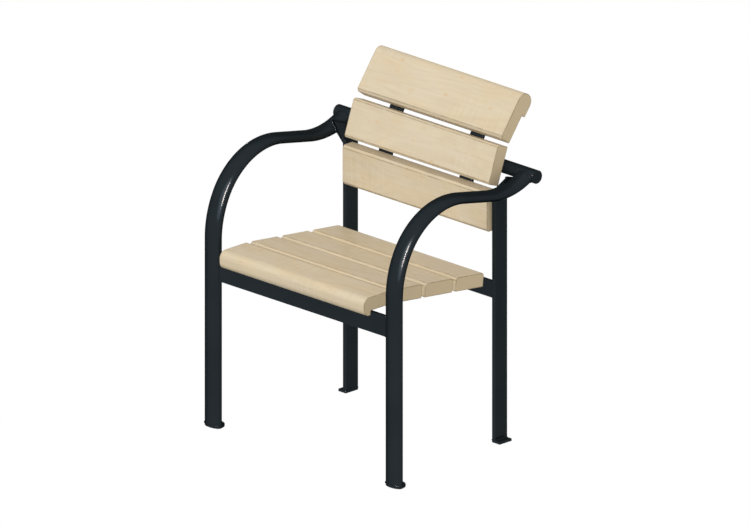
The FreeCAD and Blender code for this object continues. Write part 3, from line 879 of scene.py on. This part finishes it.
def addBoard(name, board):
    corners, radii = board["outline"]
    half, support = slats["length"] / 2, slats["support"]
    stations = np.array([-half, support - half, -half / 3, half / 3, half - support, half])
    rings, sections, edge = loftBar(
        sideways * stations[:, None] + board["start"], sideways, board["along"], board["out"],
        lambda inset: roundedOutline(corners, radii, inset, slats["arcSteps"], board["line"]), slats["ends"]
    )
    place = np.concatenate([rings[..., :1], sections - np.array(board["heart"], float)], axis=-1) * millimetre
    seeds, tones = np.full(edge.size, board["seed"]), np.full(edge.size, board["tone"])
    figured = {"boardPlace": place.reshape(-1, 3), "boardSeed": seeds, "boardTone": tones}
    addRings(name + "_board", rings, wood, name, edge, **figured)


for name, board in boards.items():
    addBoard(name, board)
print("stage: slats made")


# Coach screws and washers

screw = {
    "flats": 10.0, "aroundSteps": 48, "edge": 19.0, "frontEdge": 12.0,
    "line": (   # from the head to the point: height above the washer's seat, largest radius, and how worn
        (-4.0, 3.9, 0), (-4.0, 4.7, 0.4), (-3.85, 5.05, 1), (-3.55, 5.45, 1), (-3.1, 6.0, 0.6),
        (-0.35, 6.0, 0), (-0.05, 5.7, 0.5), (0.0, 5.5, 0.5), (0.0, 3.0, 0), (3.0, 3.0, 0),
        (31.0, 3.0, 0), (35.0, 0.6, 0),
    ),
}
washer = {
    "hole": 3.2, "radius": 6.0, "thickness": 1.6,
    "inner": 0.2, "outer": 0.35, "support": 0.3, "aroundSteps": 40,
}


def screwSeats(name):
    # Where each screw's washer stands, behind the strap that the slat lies on
    board = boards[name]
    widths = {
        "back_slat_lower": slats["lowerWidth"], "back_slat_middle": slats["middleWidth"],
        "back_slat_top": back["topSupported"],
    }
    start, places = board["start"], [screw["edge"], widths.get(name, slats["width"]) - screw["edge"]]
    if name == "seat_slat_1":
        start = start + backwards * frontBar["thickness"] / 2
        places = [screw["frontEdge"], seat["bendY"] - frontBar["thickness"] / 2 - screw["frontEdge"]]
    across = np.array([-1, -1, 1, 1]) * strap["spacing"] / 2
    middles = start + sideways * across[:, None] + board["along"] * np.array(places * 2)[:, None]
    return (middles - board["out"] * (strap["thickness"] + washer["thickness"]))[:, None, None]


def aroundScrew(out, steps):
    # Unit vectors round the screw
    angle = fullTurn(steps)[:, None]
    return np.cos(angle) * sideways + np.sin(angle) * np.cross(out, sideways)


def addScrews(name, out):
    # Hexagon: flats / 2 / cosine of the angle from the middle of a flat. The line's radius cuts it where that
    # is smaller, so the head's chamfer, the shank and its point are round.
    hexagon = screw["flats"] / 2 / np.cos(fullTurn(screw["aroundSteps"]) % (np.pi / 3) - np.pi / 6)
    heights, limits, worn = np.array(screw["line"], float).T
    radius = np.minimum(hexagon, limits[:, None])
    rings = radius[..., None] * aroundScrew(out, screw["aroundSteps"]) + heights[:, None, None] * out
    rings = screwSeats(name) + rings
    edge = worn[None, :, None] + np.zeros(rings.shape[:3])
    faces = ringFaces(*rings.shape[:3])
    addPiece("coachScrews_" + name, [(rings, faces)], zinc, ["screws_" + name], {"edge": edge.ravel()})


def addWashers(name, out):
    # A small rounded rectangle of (radius, height) turned about the screw
    hole, radius, thick = washer["hole"], washer["radius"], washer["thickness"]
    inner, outer = washer["inner"], washer["outer"]
    corners = [(hole, 0), (radius, 0), (radius, thick), (hole, thick)]
    outline, tight = roundedOutline(corners, [inner, outer, outer, inner], steps=4, support=washer["support"])
    rings = aroundScrew(out, washer["aroundSteps"])[:, None] * outline[:, :1] + out * outline[:, 1:]
    rings = screwSeats(name) + rings
    edge = np.zeros(rings.shape[:3]) + tight
    faces = ringFaces(*rings.shape[:3], looped=True)
    addPiece("washerRings_" + name, [(rings, faces)], zinc, ["washers_" + name], {"edge": edge.ravel()})


for name, board in boards.items():
    addScrews(name, board["out"])
    addWashers(name, board["out"])
print("stage: fasteners made")


# Weld beads

weld = {
    "pitch": 2.4, "ripple": 0.10, "step": 0.5, "aroundSteps": 12, "linePoints": 12,
    "taper": 2.5, "leastShare": 0.02,
    "waves": ((0.05, 4, 1), (0.03, 14, 0)),   # share of the size, half turns in the bead, start by its length
    "loopCorner": 1.2,
    "armOnTube": 1.7, "armOnFoot": 1.7, "legOnArm": 2.0, "legOnFoot": 1.6, "rearBar": 1.8, "frontBar": 1.2,
    "strapOnFrontBar": 1.6, "strapOnTube": 1.9, "strapOnRearBar": 1.6,
    "offTube": 0.2, "aboveFoot": 0.4, "intoLeg": 0.4, "intoArm": 0.3, "legShort": 1.5, "strapShort": 1.5,
    "offBar": 0.3, "intoTube": 0.4, "tubeSide": 6.4, "aboveRear": 0.2,
}


def beadShell(path, lift, size, looped=True):
    # A circle carried along the joint. Its radius is size * (1 + ripple * absolute sine of length / pitch),
    # with slow waves, and it narrows at the ends of an open bead.
    path, lift = np.asarray(path, float), np.asarray(lift, float) + np.zeros_like(path)
    if looped:
        path, lift = np.concatenate([path, path[:1]]), np.concatenate([lift, lift[:1]])
    length = np.concatenate([[0.0], np.cumsum(np.linalg.norm(np.diff(path, axis=0), axis=1))])
    total = length[-1]
    places = np.linspace(0, total, int(total / weld["step"]), endpoint=not looped)
    points = np.stack([np.interp(places, length, path[:, axis]) for axis in range(3)], axis=1)
    lifts = unit(np.stack([np.interp(places, length, lift[:, axis]) for axis in range(3)], axis=1))
    if looped:
        tangent = unit(np.roll(points, -2, axis=0) - np.roll(points, 2, axis=0))
    else:
        tangent = unit(np.gradient(points, axis=0))
    side = unit(np.cross(tangent, lifts))
    top = np.cross(side, tangent)
    drops = max(round(total / weld["pitch"]), 1)
    part = np.pi * places / total
    radius = 1 + weld["ripple"] * np.abs(np.sin(drops * part))
    for share, halfTurns, start in weld["waves"]:
        radius += share * np.sin(halfTurns * part + start * total)
    if not looped:
        fromEnd = np.minimum(places, total - places)
        radius *= np.sqrt(np.clip(fromEnd / weld["taper"], weld["leastShare"], 1))
    radius = (size * radius)[:, None, None]
    angle = fullTurn(weld["aroundSteps"])[None, :, None]
    rings = points[:, None] + radius * (np.cos(angle) * side[:, None] + np.sin(angle) * top[:, None])
    return rings, ringFaces(1, *rings.shape[:2], looped=looped)


def lineBead(middle, lift, size):
    # Straight across a strap
    run = sideways * (strap["width"] / 2 - weld["strapShort"])
    return beadShell(np.linspace(middle - run, middle + run, weld["linePoints"]), lift, size, looped=False)


def rectLoop(centre, firstAxis, secondAxis, width, thickness):
    # A rectangle round a bar, and the directions out of it
    outline = roundedOutline(square * [width / 2, thickness / 2], [weld["loopCorner"]] * 4, steps=5)[0]
    offsets = outline[:, :1] * firstAxis + outline[:, 1:] * secondAxis
    return centre + offsets, offsets


def outOf(loop):
    # From the middle of a loop to its points
    return loop - loop.mean(axis=0)


def frameBeads(side, sign):
    # The arm on the cross tube and on its foot, the rear leg on the arm and on its foot, and both bars on the
    # legs. The front bar's joint follows the arm's oval across the bar's thickness.
    armEnd = armRings(side, tube["radius"] + weld["offTube"])[-1]
    away = unit(outOf(armEnd))
    armFoot = armRings(side, tube["radius"])[0] + upwards * weld["aboveFoot"]
    legFoot = sideways * sign * legX + backwards * legY + upwards * (feet["thickness"] + weld["aboveFoot"])
    legLoop = rectLoop(legFoot, sideways, backwards, legs["thickness"], legs["depth"] - weld["legShort"])
    rearEnd = rearBarMiddle + sideways * sign * (legs["gap"] / 2 - weld["intoLeg"])
    rearLoop = rectLoop(rearEnd, backwards, upwards, rearBar["thickness"], rearBar["height"])
    loop, out = rectLoop(frontBarMiddle, backwards, upwards, frontBar["thickness"], frontBar["height"])
    loop[:, 0] = sign * (armX - halfWide * np.sqrt(1 - (loop[:, 1] / halfDeep) ** 2) - weld["intoArm"])
    return [
        beadShell(armEnd + away * weld["offTube"], away, weld["armOnTube"]),
        beadShell(armFoot, outOf(armFoot), weld["armOnFoot"]),
        beadShell(legTops[side], outOf(legTops[side]), weld["legOnArm"]),
        beadShell(*legLoop, weld["legOnFoot"]),
        beadShell(*rearLoop, weld["rearBar"]),
        beadShell(loop, out, weld["frontBar"]),
    ]


def strapBeads(sign):
    # On both edges of the front bar, on both sides of the cross tube, and over and under the end of the seat
    # strap on the rear bar
    across = sideways * sign * strap["spacing"] / 2
    beads = []
    for turn in (-1, 1):
        place = backwards * turn * (frontBar["thickness"] / 2 + weld["offBar"])
        place = place + upwards * (frontBarTop - weld["offBar"])
        beads.append(lineBead(across + place, backwards * turn - upwards, weld["strapOnFrontBar"]))
    onTube = across + tubeCentre + middleOut * (tube["radius"] - weld["intoTube"])
    for turn in (-1, 1):
        place = onTube + middleAlong * turn * weld["tubeSide"]
        beads.append(lineBead(place, middleAlong * turn, weld["strapOnTube"]))
    strapUnder = strap["thickness"] / seatOut[2] + weld["offBar"]
    for drop, lift in ((-weld["aboveRear"], 1), (strapUnder, -1)):
        place = backwards * (back["planeY"] - weld["offBar"]) + upwards * (seatRear[2] - drop)
        beads.append(lineBead(across + place, upwards * lift - backwards, weld["strapOnRearBar"]))
    return beads


shells = []
for side, sign in sides.items():
    shells += frameBeads(side, sign) + strapBeads(sign)
addPiece("weldBeads", shells, steel)
print("stage: welds made")


# Floor, lamps, world and camera

studio = {   # in metres
    "camera": {
        "centre": (0.0, -0.00139, 0.410), "towards": (2 / 3, -2 / 3, 1 / 3), "width": 1.7143, "distance": 6.0,
    },
    "sky": 0.67, "skyColour": (1.04, 1.0, 0.945, 1.0), "white": (1.0, 1.0, 1.0, 1.0),
    "key": {
        "from": (0.130, -0.575, 0.300), "strength": 1.97, "angle": 50, "colour": (0.94, 1.0, 1.07),
        "distance": 3.0,
    },
    "strip": {
        "from": (0.24, -0.80, 0.53), "strength": 1150.0, "size": (0.45, 3.6), "colour": (1.46, 1.0, 0.81),
        "distance": 8.0,
    },
    "floor": {
        "size": 30.0, "drop": 0.0004, "colour": (0.27, 0.27, 0.27, 1.0), "colourTwo": (0.29, 0.29, 0.29, 1.0),
        "patches": 0.6, "seed": 12.0, "roughness": 0.85, "whiteShare": 0.95, "whiteStrength": 1.04,
    },
}


def seenDirectly(tree):
    # 1 for rays from the camera, and for mirrored and transmitted ones
    path = addNode(tree, "ShaderNodeLightPath", {}).outputs
    mirrored = calc(tree, "MAXIMUM", path["Is Camera Ray"], path["Is Glossy Ray"])
    return calc(tree, "MAXIMUM", mirrored, path["Is Transmission Ray"])


def makeFloor():
    # Pale grey to the light that it throws back, and white where it is seen
    look = studio["floor"]
    material, tree, shader = newMaterial("paleFloor")
    slow = patchy(tree, objectPlace(tree), look["seed"], look["patches"])
    tree.links.new(blendColours(tree, slow, look["colour"], look["colourTwo"]), shader.inputs["Base Color"])
    shader.inputs["Roughness"].default_value = look["roughness"]
    shader.inputs["Specular IOR Level"].default_value = 0.0
    inputs = {"Color": studio["white"], "Strength": look["whiteStrength"]}
    white = addNode(tree, "ShaderNodeEmission", inputs).outputs[0]
    share = calc(tree, "MULTIPLY", seenDirectly(tree), look["whiteShare"])
    both = addNode(tree, "ShaderNodeMixShader", {0: share, 1: shader.outputs[0], 2: white}).outputs[0]
    tree.links.new(both, tree.nodes["Material Output"].inputs["Surface"])
    mesh = bpy.data.meshes.new("floor")
    mesh.from_pydata([(x * look["size"] / 2, y * look["size"] / 2, 0) for x, y in square], [], [(0, 1, 2, 3)])
    mesh.materials.append(material)
    floor = bpy.data.objects.new("floor", mesh)
    bpy.context.scene.collection.objects.link(floor)
    floor.location.z = -look["drop"]


def makeWorld():
    # The sky's own strength and colour as light, and plain white where it is seen
    world = bpy.data.worlds.new("studioSky")
    world.use_nodes = True
    bpy.context.scene.world = world
    tree = world.node_tree
    direct = seenDirectly(tree)
    strength = calc(tree, "MULTIPLY_ADD", direct, 1.0 - studio["sky"], studio["sky"])
    colour = blendColours(tree, direct, studio["skyColour"], studio["white"])
    background = tree.nodes["Background"].inputs
    tree.links.new(strength, background["Strength"])
    tree.links.new(colour, background["Color"])


def placeFacing(name, data, towards, centre, distance):
    # A lamp or camera that stands off from a place and looks at it
    holder = bpy.data.objects.new(name, data)
    bpy.context.scene.collection.objects.link(holder)
    away = Vector(towards).normalized()
    holder.location = Vector(centre) + away * distance
    holder.rotation_euler = away.to_track_quat("Z", "Y").to_euler()
    return holder


def makeLamp(name, kind, look):
    lamp = bpy.data.lights.new(name, kind)
    lamp.energy, lamp.color = look["strength"], look["colour"]
    if kind == "SUN":
        lamp.angle = np.radians(look["angle"])
    else:
        lamp.shape = "RECTANGLE"
        lamp.size, lamp.size_y = look["size"]
    return placeFacing(name, lamp, look["from"], (0, 0, 0), look["distance"])


def makeCamera():
    look = studio["camera"]
    camera = bpy.data.cameras.new("camera")
    camera.type = "ORTHO"
    camera.ortho_scale = look["width"]
    placed = placeFacing("camera", camera, look["towards"], look["centre"], look["distance"])
    bpy.context.scene.camera = placed


def lightOnly(lamp, material):
    # The lamp reaches no piece but those of one material
    lit = bpy.data.collections.new("litBy_" + lamp.name)
    for piece in bpy.context.scene.objects:
        if piece.type == "MESH" and material.name in piece.data.materials:
            lit.objects.link(piece)
    lamp.light_linking.receiver_collection = lit


makeFloor()
makeWorld()
makeLamp("keyLamp", "SUN", studio["key"]).data.use_shadow = False   # a fill that leaves no hard edges
strip = makeLamp("stripLamp", "AREA", studio["strip"])              # only glints in the steel
strip.visible_diffuse = False
strip.visible_camera = False
lightOnly(strip, steel)
makeCamera()
bpy.context.scene.view_settings.view_transform = "Standard"
print("stage: studio made")
